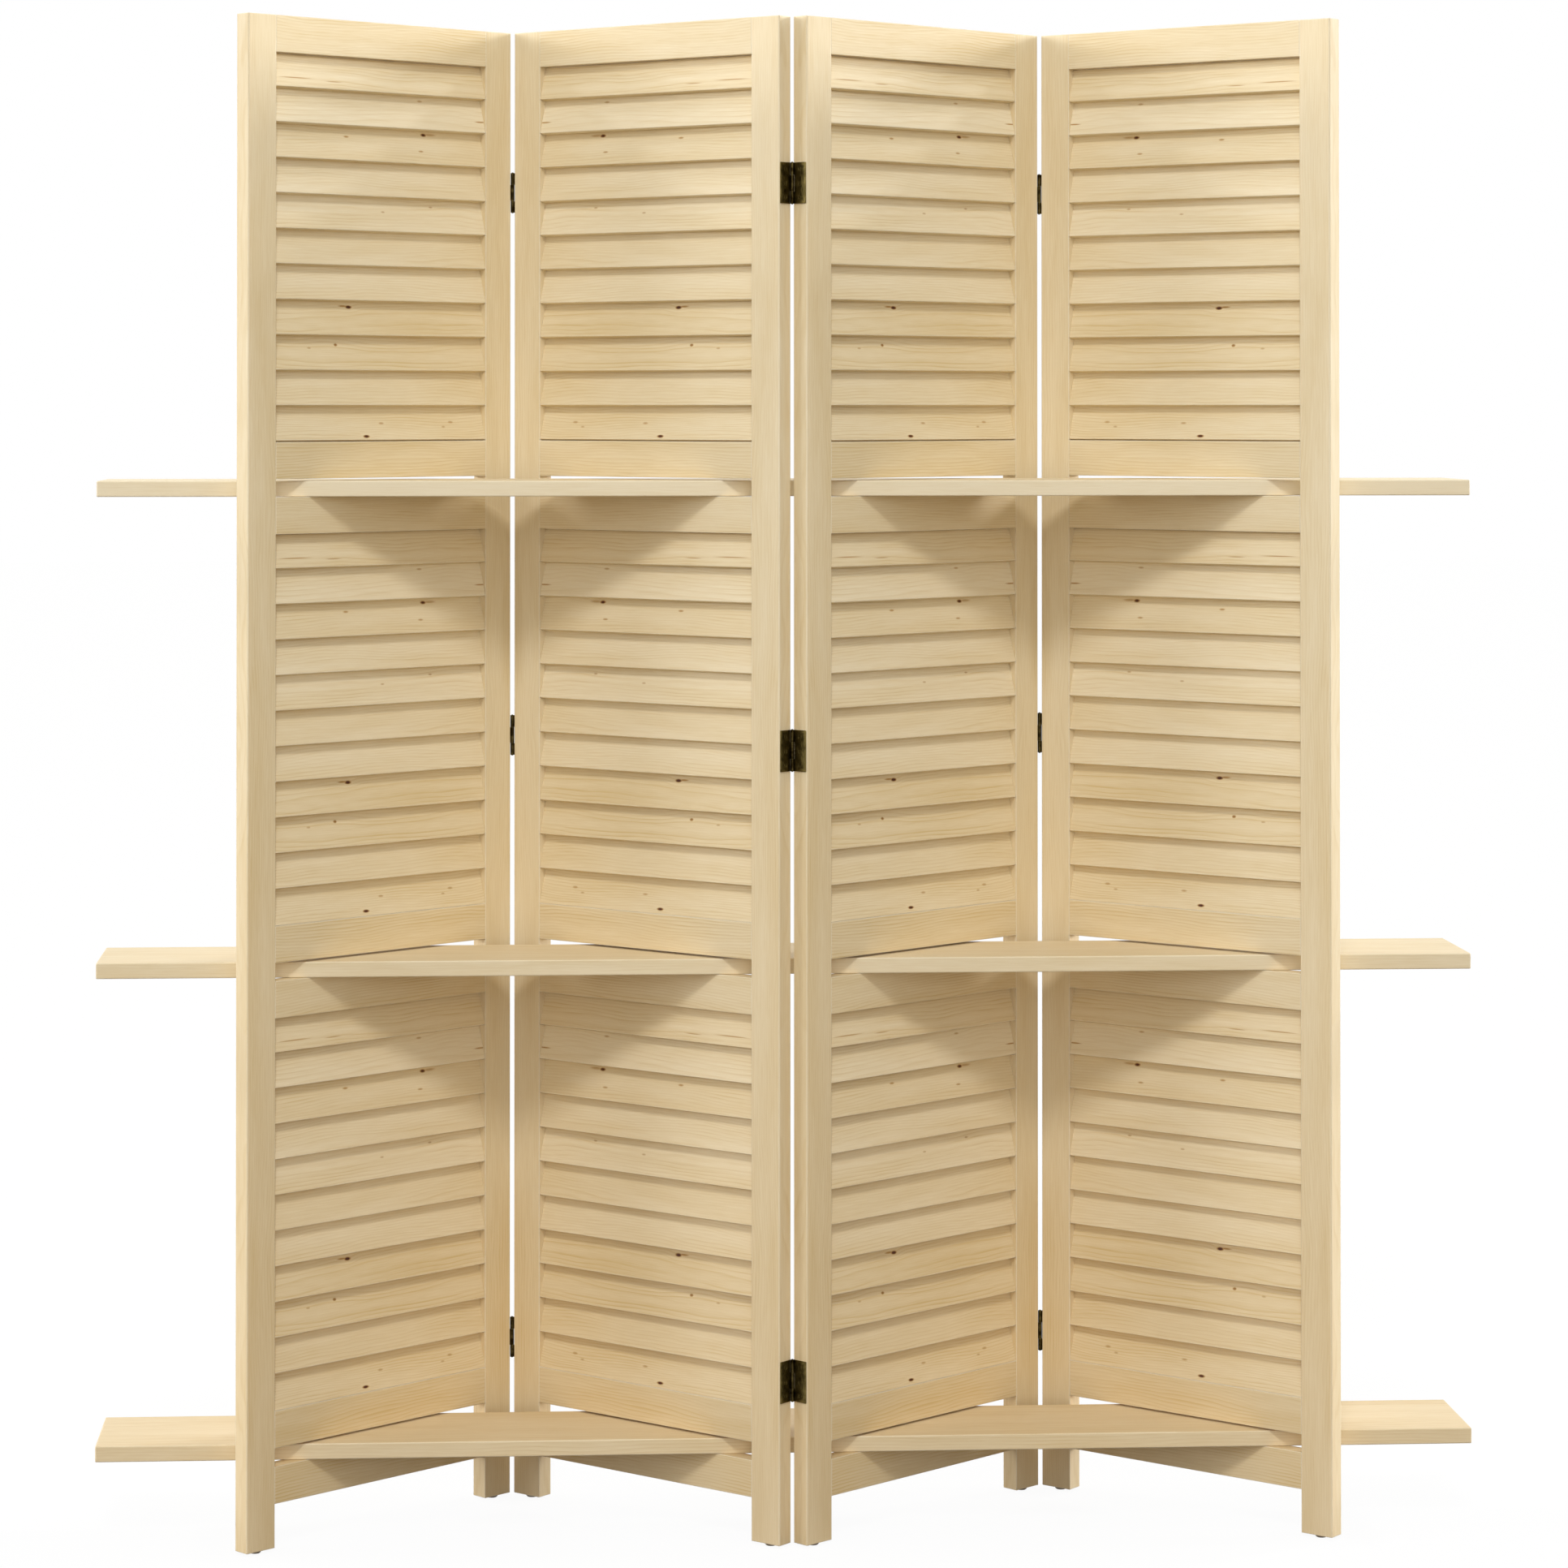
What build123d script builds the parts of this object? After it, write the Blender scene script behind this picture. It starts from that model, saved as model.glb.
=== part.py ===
"""Folding louvre screen with three loose shelves, built as separate pieces.

Four louvred panels stand in a zigzag, joined by butt hinges on alternate faces.
Three long boards lie in slots through all four panels and make display shelves.
Units are millimetres, +Z is up and the front of the screen faces -Y.
The origin is on the floor, midway between the front and the back hinge lines.
"""
import os
from math import cos, pi, radians, sin, sqrt

from build123d import *

os.makedirs("parts", exist_ok=True)

# Whole screen
panel_count = 4
panel_width = 388.0
panel_thickness = 20.5
fold_angle = 41.3  # turn of each panel away from the line of the shelves, in degrees
hinge_gap = 5.0  # clear space between the edges of neighbouring panels when flat

# Frame of one panel
stile_width = 39.0
rail_height = 41.0
leg_height = 51.9  # from the floor up to the base rail
stile_arris = 1.0  # taken off the outer edge of the front face
tenon_length = 14.0
tenon_thickness = 8.0
tenon_shoulder = 5.0  # the part of a rail's height left off above and below its tenon
mortise_side_clearance = 0.1
mortise_end_clearance = 0.8

# Louvre slats
slats_per_section = 11
section_count = 3
slat_pitch = 39.4
slat_tilt = 15.5  # lean of a slat from upright, in degrees
slat_thickness = 6.5
slat_overlap = 7.0  # how far a slat reaches up behind the one above it
slat_setback = 0.8  # from the panel's front face to the slat's lower edge
slat_arris = 0.5
housing_depth = 7.0  # how far the slat ends are let into the stiles
housing_side_clearance = 0.1
housing_end_clearance = 0.5
top_slat_clearance = 0.2

# Shelf boards and the slots they lie in
slot_height = 20.3
shelf_thickness = 17.6
shelf_depth = 140.0
shelf_overhang = 155.45  # how far a board reaches past the outer ends of the fold line
shelf_arris = 0.8
shelf_setback = 42.2  # from the front hinge line back to the board's front edge
shelf_running_clearance = 0.2  # under a board, so that it slides over the rails freely

# Butt hinges
upper_hinge_rise = 288.4  # from the bottom of its louvre section to the hinge's middle
middle_hinge_rise = 192.6
lower_hinge_rise = 29.3
leaf_height = 46.0
leaf_margin = 0.1  # from a leaf's free edge to the stile's arris
leaf_thickness = 1.1
knuckle_radius = 2.2
knuckle_share = 0.41  # middle knuckle's share of the leaf's height
knuckle_end_play = 0.2
knuckle_notch = 0.3  # clearance of a leaf's plate round the other leaf's knuckle
pin_radius = 1.2
pin_running_clearance = 0.05
pin_overhang = 0.8
barrel_sides = 12  # knuckles and glides are drawn with this many flats

# Glides under the stiles
glide_radius = 7.0
glide_foot_radius = 5.4
glide_height = 3.5
glide_rim_height = 1.9

# Sizes that follow from the ones above
lean = radians(fold_angle)
tilt = radians(slat_tilt)
opening_width = panel_width - 2 * stile_width
section_height = slats_per_section * slat_pitch
section_pitch = section_height + 2 * rail_height + slot_height
screen_height = leg_height + rail_height + section_count * section_pitch
stile_height = screen_height - glide_height
fold_step_x = (panel_width + hinge_gap) * cos(lean) + panel_thickness * sin(lean)
fold_step_y = (panel_width + hinge_gap) * sin(lean) - panel_thickness * cos(lean)
top_slat_width = (slat_pitch - top_slat_clearance - slat_thickness * sin(tilt)) / cos(tilt)
slat_width = top_slat_width + slat_overlap / cos(tilt)
shelf_length = panel_count * fold_step_x + 2 * shelf_overhang
leaf_width = panel_thickness - stile_arris - leaf_margin  # from the pin's axis


def section_top(section):
    """Height of the top of a louvre section, counted from the top one."""
    return screen_height - rail_height - section * section_pitch


def section_bottom(section):
    """Height of the bottom of a louvre section."""
    return section_top(section) - section_height


def slot_floor(section):
    """Height of the slot floor below a louvre section, where a shelf lies."""
    return section_bottom(section) - rail_height - slot_height


def many_sided(radius, height):
    """Upright round bar about its own middle, its flats' corners at this radius."""
    return extrude(RegularPolygon(radius, barrel_sides), amount=height / 2, both=True)


def save(name, *solids):
    """Write one node, made of one or several separate solids."""
    shape = solids[0] if len(solids) == 1 else Compound(children=list(solids))
    shape.label = name
    export_step(shape, os.path.join("parts", name + ".step"))


# Rails and their joints
# A rail is cut between shoulders to the opening's width. A stub tenon on each end
# goes into a mortise in the stile, so the outside shows only a straight butt line.
def tenon_block(side, side_clearance, end_clearance):
    """Tenon on one end of a rail, or with clearances the mortise for it."""
    length = tenon_length + end_clearance
    block = Box(
        length,
        tenon_thickness + 2 * side_clearance,
        rail_height - 2 * tenon_shoulder + 2 * side_clearance,
    )
    return Pos(side * (opening_width / 2 + length / 2), 0, 0) * block


def rail(centre_height):
    """One rail with a tenon on each end."""
    bar = Box(opening_width, panel_thickness, rail_height)
    for side in (-1, 1):
        bar += tenon_block(side, 0, 0)
    return Pos(0, 0, centre_height) * bar


def rail_heights():
    """Centre heights of all rails: the top one, then the pair round each slot."""
    heights = [screen_height - rail_height / 2]
    for section in range(section_count):
        heights.append(section_bottom(section) - rail_height / 2)
        heights.append(slot_floor(section) - rail_height / 2)
    return heights


# Louvre slats
# Each slat leans back as it rises. Its ends sit in slanting housings cut into the
# inner faces of the stiles, which set the pitch and the tilt of the whole section.
def slat_outline(width, thickness, arris):
    """Section of an upright slat, front to the left, with both front arrises taken off."""
    half_width = width / 2
    half_thickness = thickness / 2
    return [
        (-half_thickness, arris - half_width),
        (-half_thickness, half_width - arris),
        (arris - half_thickness, half_width),
        (half_thickness, half_width),
        (half_thickness, -half_width),
        (arris - half_thickness, -half_width),
    ]


def slat_place(width, lowest):
    """Place for a slat of this width whose lowest corner is at this height."""
    depth = width * sin(tilt) + slat_thickness * cos(tilt)
    rise = width * cos(tilt) + slat_thickness * sin(tilt)
    centre_y = slat_setback + depth / 2 - panel_thickness / 2
    return Pos(0, centre_y, lowest + rise / 2) * Rot(-slat_tilt, 0, 0)


def slat_widths(section):
    """Width and lowest height of each slat in a section, from the bottom up."""
    places = []
    for row in range(slats_per_section):
        is_top = row == slats_per_section - 1
        width = top_slat_width if is_top else slat_width
        places.append((width, section_bottom(section) + row * slat_pitch))
    return places


def slat(width, lowest):
    """One slat, reaching into the housings at both ends."""
    half_length = opening_width / 2 + housing_depth - housing_end_clearance
    section_face = make_face(Polyline(*slat_outline(width, slat_thickness, slat_arris), close=True))
    board = extrude(Plane.YZ * section_face, amount=half_length, both=True)
    return slat_place(width, lowest) * board


def housing(side, width, lowest):
    """The slanting cut in a stile that takes one slat end."""
    cut = Box(
        housing_depth,
        slat_thickness + 2 * housing_side_clearance,
        width + 2 * housing_side_clearance,
    )
    sideways = Pos(side * (opening_width + housing_depth) / 2, 0, 0)
    return sideways * slat_place(width, lowest) * cut


# Stiles
def stile(side):
    """One stile with its mortises and slat housings."""
    centre_x = side * (opening_width + stile_width) / 2
    post = Pos(centre_x, 0, glide_height + stile_height / 2) * Box(
        stile_width, panel_thickness, stile_height
    )
    outer_edges = post.edges().filter_by(Axis.Z).group_by(Axis.X)[-1 if side > 0 else 0]
    post = chamfer(outer_edges.sort_by(Axis.Y)[0], stile_arris)
    cuts = []
    for height in rail_heights():
        block = tenon_block(-side, mortise_side_clearance, mortise_end_clearance)
        cuts.append(Pos(0, 0, height) * Rot(0, 0, 180) * block)
    for section in range(section_count):
        for width, lowest in slat_widths(section):
            cuts.append(housing(side, width, lowest))
    return post - cuts


# Glides
def glide(side):
    """Round button under the middle of a stile, tapering to its foot."""
    rim = many_sided(glide_radius, glide_rim_height)
    foot_height = glide_height - glide_rim_height
    foot = loft(
        [
            RegularPolygon(glide_foot_radius, barrel_sides),
            Pos(0, 0, foot_height) * RegularPolygon(glide_radius, barrel_sides),
        ]
    )
    button = foot + Pos(0, 0, foot_height + glide_rim_height / 2) * rim
    return Pos(side * (opening_width + stile_width) / 2, 0, 0) * button


# Hinges
# The leaves are screwed flat on the stile edges. The pin stands level with the face
# on which the pair of panels closes, in the middle of the gap between their edges.
def knuckle_spans(has_middle):
    """Lowest and highest points of a leaf's knuckles, about its own middle."""
    half_leaf = leaf_height / 2
    half_middle = knuckle_share * half_leaf
    if has_middle:
        return [(knuckle_end_play - half_middle, half_middle - knuckle_end_play)]
    return [(-half_leaf, -half_middle), (half_middle, half_leaf)]


def leaf(has_middle):
    """Leaf on the edge at -X of the pin, spreading towards +Y."""
    plate_x = (leaf_thickness - hinge_gap) / 2
    face_x = hinge_gap / 2 - leaf_thickness  # how far the pin's axis is from the leaf's face
    plate_start = sqrt((knuckle_radius + knuckle_notch) ** 2 - face_x**2)
    shape = Pos(plate_x, (plate_start + leaf_width) / 2, 0) * Box(
        leaf_thickness, leaf_width - plate_start, leaf_height
    )
    for low, high in knuckle_spans(has_middle):
        height = high - low
        middle = (low + high) / 2
        shape += Pos(plate_x, plate_start / 2, middle) * Box(leaf_thickness, plate_start, height)
        shape += Pos(0, 0, middle) * many_sided(knuckle_radius, height)
    bore_radius = (pin_radius + pin_running_clearance) / cos(pi / barrel_sides)  # at its corners
    return shape - many_sided(bore_radius, leaf_height)


def pin():
    """Hinge pin, standing a little proud of the knuckles at both ends."""
    return Cylinder(pin_radius, leaf_height + 2 * pin_overhang)


def hinge_heights():
    """Heights of the hinges' middles on every joint, one beside each louvre section."""
    rises = (upper_hinge_rise, middle_hinge_rise, lower_hinge_rise)
    return [section_bottom(section) + rise for section, rise in enumerate(rises)]


# Placing
def panel_turn(panel):
    """Turn of a panel about the vertical: odd panels one way, even ones the other."""
    return fold_angle if panel % 2 == 1 else -fold_angle


def panel_place(panel):
    """Place of a panel whose own middle is on the screen's middle line."""
    middle_x = (panel - (panel_count + 1) / 2) * fold_step_x
    return Pos(middle_x, 0, 0) * Rot(0, 0, panel_turn(panel))


def joint_side(joint):
    """Side of the folds' line that a joint is on: back for odd joints, front for even."""
    return 1 if joint % 2 == 1 else -1


def joint_place(joint, panel, height):
    """Place on a joint's pin axis, turned with one of the two panels it joins."""
    axis_x = (joint - panel_count / 2) * fold_step_x
    axis_y = joint_side(joint) * fold_step_y / 2
    return Pos(axis_x, axis_y, height) * Rot(0, 0, panel_turn(panel))


# Writing the nodes
def write_panels():
    """Each panel: two stiles, seven rails, three louvre sections and two glides."""
    stiles = {"left": stile(-1), "right": stile(1)}
    for panel in range(1, panel_count + 1):
        place = panel_place(panel)
        prefix = "panel_" + str(panel) + "_"
        for name, post in stiles.items():
            save(prefix + "stile_" + name, place * post)
        heights = rail_heights()
        save(prefix + "rail_top", place * rail(heights[0]))
        save(prefix + "rails_over_shelves", *[place * rail(height) for height in heights[1::2]])
        save(prefix + "rails_under_shelves", *[place * rail(height) for height in heights[2:-1:2]])
        save(prefix + "rail_base", place * rail(heights[-1]))
        for section, name in enumerate(("upper", "middle", "lower")):
            slats = [place * slat(width, lowest) for width, lowest in slat_widths(section)]
            save(prefix + "slats_" + name, *slats)
        save(prefix + "glides", place * glide(-1), place * glide(1))


def write_hinges():
    """Each joint: three left leaves, three right leaves and three pins.

    On the screen's middle joint the middle pin is fast in the left leaf and has its own
    node, while the other two float and keep to the line of the shelves.
    """
    for joint in range(1, panel_count):
        prefix = "hinges_" + str(joint) + "_" + str(joint + 1) + "_"
        left_leaf = leaf(True)
        right_leaf = mirror(leaf(False), about=Plane.YZ)
        if joint_side(joint) < 0:
            left_leaf = mirror(left_leaf, about=Plane.XZ)
            right_leaf = mirror(right_leaf, about=Plane.XZ)
        heights = hinge_heights()
        left = [joint_place(joint, joint, height) * left_leaf for height in heights]
        right = [joint_place(joint, joint + 1, height) * right_leaf for height in heights]
        save(prefix + "leaves_left", *left)
        save(prefix + "leaves_right", *right)
        pins = [joint_place(joint, joint, height) * pin() for height in heights]
        if joint == panel_count // 2:
            upper_pin, middle_pin, lower_pin = pins
            save(prefix + "pin_middle", middle_pin)
            pins = [upper_pin, lower_pin]
        save(prefix + "pins", *pins)


def write_shelves():
    """Three equal boards, each just clear of the floor of its slots."""
    front = shelf_setback - fold_step_y / 2
    for section, name in enumerate(("upper", "middle", "lower")):
        board = Box(shelf_length, shelf_depth, shelf_thickness)
        board = chamfer(board.edges(), shelf_arris)
        middle_height = slot_floor(section) + shelf_running_clearance + shelf_thickness / 2
        save("shelf_" + name, Pos(0, front + shelf_depth / 2, middle_height) * board)


write_panels()
write_hinges()
write_shelves()
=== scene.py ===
# %% [markdown]
# # A folding louvre screen with three shelves
# The screen is four louvred panels of pale softwood, hinged in a zigzag. Three long boards
# slide through slots in all four panels, keep the zigzag open and serve as shelves.
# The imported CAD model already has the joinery, so this lesson loads it as a fixed frame and
# spends its effort on what a maker would call the finish: sawn and planed wood, softened
# arrises, pressed and blackened brass hinges, and the buttons under the feet.

# %% Load the frame
from math import atan2, cos, pi, radians, sin, sqrt

import bmesh
import bpy
from mathutils import Matrix, Vector


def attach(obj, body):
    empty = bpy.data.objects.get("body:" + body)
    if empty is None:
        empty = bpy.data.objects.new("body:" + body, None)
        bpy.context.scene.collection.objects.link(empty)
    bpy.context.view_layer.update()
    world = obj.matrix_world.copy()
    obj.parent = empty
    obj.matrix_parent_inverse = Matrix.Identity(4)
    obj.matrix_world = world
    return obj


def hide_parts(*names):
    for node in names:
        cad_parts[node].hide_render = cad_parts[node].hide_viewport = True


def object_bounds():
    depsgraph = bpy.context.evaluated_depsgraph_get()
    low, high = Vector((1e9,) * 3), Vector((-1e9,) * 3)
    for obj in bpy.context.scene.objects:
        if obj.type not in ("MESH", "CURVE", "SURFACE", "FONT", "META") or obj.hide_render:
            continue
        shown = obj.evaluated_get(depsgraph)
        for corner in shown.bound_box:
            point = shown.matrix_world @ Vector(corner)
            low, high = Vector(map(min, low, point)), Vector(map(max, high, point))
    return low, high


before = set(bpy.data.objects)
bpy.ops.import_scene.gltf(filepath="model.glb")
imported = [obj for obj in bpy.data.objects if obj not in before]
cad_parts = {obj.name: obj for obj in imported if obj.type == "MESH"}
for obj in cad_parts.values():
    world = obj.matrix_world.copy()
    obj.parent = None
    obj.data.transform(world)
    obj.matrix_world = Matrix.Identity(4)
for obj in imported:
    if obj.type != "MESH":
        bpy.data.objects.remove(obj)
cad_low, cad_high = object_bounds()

cad_size = [round(v * 1000, 1) for v in cad_high - cad_low]
print("nodes:", len(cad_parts), "size in mm:", cad_size)

# %% [markdown]
# ## Real sizes
# Everything here is in metres, while a joiner thinks in millimetres. One constant turns one
# into the other. The sizes below are the screen's own: they say where each panel stands, so
# that the grain of the wood can follow the pieces of each panel.

# %% Sizes of the screen
MM = 0.001
PANELS = (1, 2, 3, 4)
FOLD = radians(41.3)  # turn of each panel away from the line of the boards
PANEL_WIDTH = 388 * MM
PANEL_THICKNESS = 20.5 * MM
STILE_WIDTH = 39 * MM
SECTION_PITCH = 535.7  # mm from one louvre section to the next
LOWEST_SECTION = 154.2  # mm from the floor to the bottom of the lowest section
SLAT_PITCH = 39.4  # mm
SLAT_TILT = radians(15.5)
SLAT_THICKNESS = 6.5  # mm
SLAT_SETBACK = 0.8  # mm from the panel's face to a slat's lower edge
HINGE_GAP = 5 * MM
HINGE_HEIGHTS = (1514 * MM, 882.5 * MM, 183.5 * MM)


def panel_turn(panel):
    """Turn of a panel about the vertical."""
    return FOLD if panel % 2 else -FOLD


fold_step = (PANEL_WIDTH + HINGE_GAP) * cos(FOLD) + PANEL_THICKNESS * sin(FOLD)
fold_depth = (PANEL_WIDTH + HINGE_GAP) * sin(FOLD) - PANEL_THICKNESS * cos(FOLD)


def panel_middle(panel):
    """Distance of a panel's middle from the middle of the screen."""
    return (panel - 2.5) * fold_step


print("panel middles in mm:", [round(panel_middle(p) / MM, 1) for p in PANELS])

# %% [markdown]
# ## The camera
# The photograph was taken from almost straight ahead, a little above the upper board, with
# a long lens. Its verticals are parallel, which a view camera gets by keeping the back
# upright and shifting the lens. The lens shift here does the same. The numbers come from
# a fit of the screen's real edges to the edges in the picture.

# %% Camera
camera = bpy.data.objects.new("camera", bpy.data.cameras.new("camera"))
bpy.context.scene.collection.objects.link(camera)
bpy.context.scene.camera = camera
camera.location = (-0.3566, -4.937, 1.2691)
camera.rotation_euler = (radians(90.617), 0, radians(-3.292))
camera.data.sensor_width = 36
camera.data.lens = 99.55
camera.data.shift_x = 0.0403
camera.data.shift_y = -0.2728
bpy.context.scene.view_settings.view_transform = "Standard"
print("camera is", round((camera.location - Vector((0, 0, 0.85))).length, 2), "m from the screen")

# %% [markdown]
# ## Helpers for materials
# A shader is a small machine of nodes. One helper adds a node, gives it its settings and
# joins its inputs to other nodes, so that each material reads like a recipe. Colours are
# written as they look on a screen and turned to the linear values that light works in.


# %% Node and colour helpers
def put(tree, kind, inputs=(), **settings):
    """Adds a shader node. Inputs are a dictionary, or a list in the order of the sockets."""
    node = tree.nodes.new("ShaderNode" + kind)
    for name, value in settings.items():
        setattr(node, name, value)
    pairs = inputs.items() if isinstance(inputs, dict) else enumerate(inputs)
    for key, value in pairs:
        if isinstance(value, bpy.types.Node):
            value = value.outputs[0]
        if isinstance(value, bpy.types.NodeSocket):
            tree.links.new(value, node.inputs[key])
        elif value is not None:
            node.inputs[key].default_value = value
    return node


def colour(text):
    """Linear colour from an sRGB hex value such as E8D5B0."""
    channels = [int(text[i:i + 2], 16) / 255 for i in (0, 2, 4)]
    return (*[c / 12.92 if c <= 0.04045 else ((c + 0.055) / 1.055) ** 2.4 for c in channels], 1)


def new_material(name):
    """An empty node material and its tree."""
    material = bpy.data.materials.new(name)
    material.use_nodes = True
    material.node_tree.nodes.clear()
    return material, material.node_tree


print("the hex colour 808080 is", round(colour("808080")[0], 3), "in linear light")

# %% [markdown]
# ## Floor, backdrop and light
# The photograph is a catalogue picture: the screen stands on white. The key light is high
# in front and a little to the left. Soft lights stand low on both sides and reach along the
# boards and into the slots, two weaker ones stand behind, and a broad faint one low in front
# fills the shade under the boards. The walls of the studio are pale and its ceiling is dim.
# The floor and the world are white only for the camera, for reflections and for what is
# seen through glass. The lamps stay at a level at which a colour renders about as it is
# written.

# %% Floor
FLOOR = 30  # m from the middle to each edge
WHITENESS = 0.95  # the rest of the floor's look is left to the shadow of the screen


def white_rays(tree):
    """1 for the rays that see the background as white, and 0 for those that carry light."""
    rays = put(tree, "LightPath")
    seen = put(tree, "Math", (rays.outputs["Is Camera Ray"], rays.outputs["Is Glossy Ray"]),
               operation="MAXIMUM")
    return put(tree, "Math", (seen, rays.outputs["Is Transmission Ray"]), operation="MAXIMUM")


floor_mesh = bpy.data.meshes.new("floor")
floor_corners = [(-FLOOR, -FLOOR, 0), (FLOOR, -FLOOR, 0), (FLOOR, FLOOR, 0), (-FLOOR, FLOOR, 0)]
floor_mesh.from_pydata(floor_corners, [], [(0, 1, 2, 3)])
floor = bpy.data.objects.new("floor", floor_mesh)
bpy.context.scene.collection.objects.link(floor)
paper, tree = new_material("white_paper_floor")
seen = white_rays(tree)
# Light that the floor throws back up at the screen is dim and warm
sheet_colour = put(tree, "Mix", {0: seen, 6: colour("6B5C48"), 7: (1, 1, 1, 1)},
                   data_type="RGBA").outputs[2]
sheet = put(tree, "BsdfDiffuse", {"Color": sheet_colour})
whiten = put(tree, "Math", (seen, WHITENESS), operation="MULTIPLY")
white = put(tree, "Emission", {"Color": (1, 1, 1, 1), "Strength": 1})
mix = put(tree, "MixShader", (whiten, sheet, white))
put(tree, "OutputMaterial", (mix,))
floor_mesh.materials.append(paper)
print("the floor is", 2 * FLOOR, "m wide")

# %% World
WALLS, CEILING = 0.98, 0.25  # brightness of the studio as the screen receives it
world = bpy.data.worlds.new("studio")
bpy.context.scene.world = world
world.use_nodes = True
tree = world.node_tree
tree.nodes.clear()
seen = white_rays(tree)
upwards = put(tree, "SeparateXYZ", (put(tree, "TexCoord").outputs["Generated"],)).outputs["Z"]
level = put(tree, "MapRange", (upwards, 0, 1, WALLS, CEILING))
studio = put(tree, "Background", {"Color": colour("FFFEFA"), "Strength": level})
white = put(tree, "Background", {"Color": (1, 1, 1, 1), "Strength": 1})
put(tree, "OutputWorld", (put(tree, "MixShader", (seen, studio, white)),))
print("studio light: walls", WALLS, "ceiling", CEILING)


# %% Lamps
def lamp(name, azimuth, elevation, strength, softness):
    """A far lamp: azimuth 0 is in front, 90 to the right; softness is its width in degrees."""
    data = bpy.data.lights.new(name, "SUN")
    data.energy = strength
    data.angle = radians(softness)
    item = bpy.data.objects.new(name, data)
    bpy.context.scene.collection.objects.link(item)
    a, e = radians(azimuth), radians(elevation)
    towards = Vector((sin(a) * cos(e), -cos(a) * cos(e), sin(e)))
    item.rotation_mode = "QUATERNION"
    item.rotation_quaternion = towards.to_track_quat("Z", "Y")


lamp("left_front", -78, 10, 0.50, 14)
lamp("left_side", -95, 9, 1.0, 14)
lamp("right_side", 95, 9, 1.75, 14)
lamp("left_back", -120, 36, 0.6, 6)
lamp("right_back", 120, 36, 0.8, 6)
lamp("low_front", 0, 6, 0.44, 30)

# The key is near enough for the foot of the screen to get a little less of it than the top
KEY_PLACE = Vector((-0.9, -8.0, 8.9))
KEY_AIM = Vector((0, 0, 0.9))
KEY_LEVEL = 1.08  # irradiance where it is aimed
key = bpy.data.objects.new("key", bpy.data.lights.new("key", "AREA"))
key.data.shape = "DISK"
key.data.size = 2.2
key.data.energy = KEY_LEVEL * pi * (KEY_PLACE - KEY_AIM).length_squared
key.location = KEY_PLACE
key.rotation_mode = "QUATERNION"
key.rotation_quaternion = (KEY_PLACE - KEY_AIM).to_track_quat("Z", "Y")
bpy.context.scene.collection.objects.link(key)

# %% [markdown]
# ## Planed softwood
# The wood is a pale, plain softwood, planed, sanded and left natural. In the tree it grew as
# rings round a heart, so a board shows lines where its face cuts those rings: straight lines
# where the heart was far to the side, long arches where it lay close under the face. The
# shader does what the saw did. It puts a heart line somewhere beside each piece, measures
# the distance to it, and turns every few millimetres of that distance into one ring, pale at
# first and darker where it ends. Fine fibres, broad tints and end grain come on top. To the
# eye it is a warm, matt cream with a quiet sheen along the fibres.
# The rings are 3.4 mm wide, as in this wood. The fibres are a few hundredths of a millimetre
# thick on the real board and are drawn 0.9 mm wide, in bundles, so that they show at all.


# %% Where the grain runs
def panel_millimetres(tree, panel):
    """Position in a panel's own frame in mm: along the panel, through it, and up.

    Panels 2 and 4 are panels 1 and 3 turned the other way round, so they count from the
    other side.
    """
    place = put(tree, "TexCoord")
    side = 1 if panel % 2 else -1
    local = put(tree, "Mapping", {
        "Vector": place.outputs["Object"],
        "Location": (panel_middle(panel), 0, 0),
        "Rotation": (0, 0, panel_turn(panel)),
        "Scale": (MM * side, MM, MM),
    }, vector_type="TEXTURE")
    return put(tree, "SeparateXYZ", (local,)).outputs


# %% [markdown]
# ## Noise along the grain
# Nothing in wood is as wide as it is long. Clouds of colour, bundles of fibres and the bends
# of the heart are all drawn out along the grain. One helper makes such noise from a length
# and a width in millimetres. Besides the three directions of space the noise has a fourth,
# which takes the number of the piece, so that each piece is cut from its own stretch of log.


# %% Noise drawn out along the grain
def streaks(tree, grain, length, width, detail, offset=0.0):
    """Noise from 0 to 1 in patches of this length and width in mm."""
    along, across, deep, shift = grain
    stretched = put(tree, "CombineXYZ", (
        put(tree, "Math", (along, length), operation="DIVIDE"),
        put(tree, "Math", (across, width), operation="DIVIDE"),
        put(tree, "Math", (deep, width), operation="DIVIDE"),
    ))
    own = put(tree, "Math", (shift, offset), operation="ADD")
    return put(tree, "TexNoise", {"Vector": stretched, "W": own, "Scale": 1, "Detail": detail},
               noise_dimensions="4D")


# %% [markdown]
# ## Rings round the heart
# The heart is a line that runs beside the piece. It wanders a little, as no tree grows quite
# straight. The distance from it says which ring a point belongs to. Each ring starts pale,
# with the wood of spring, and ends in a thin darker line.

# %% Distance from the heart, and the rings
RING_WIDTH = 3.4  # mm
WANDER, RIPPLE = 17, 2.5  # mm by which the heart line leaves its course to each side
HEART_DEPTH = 7  # mm, the least


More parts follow.
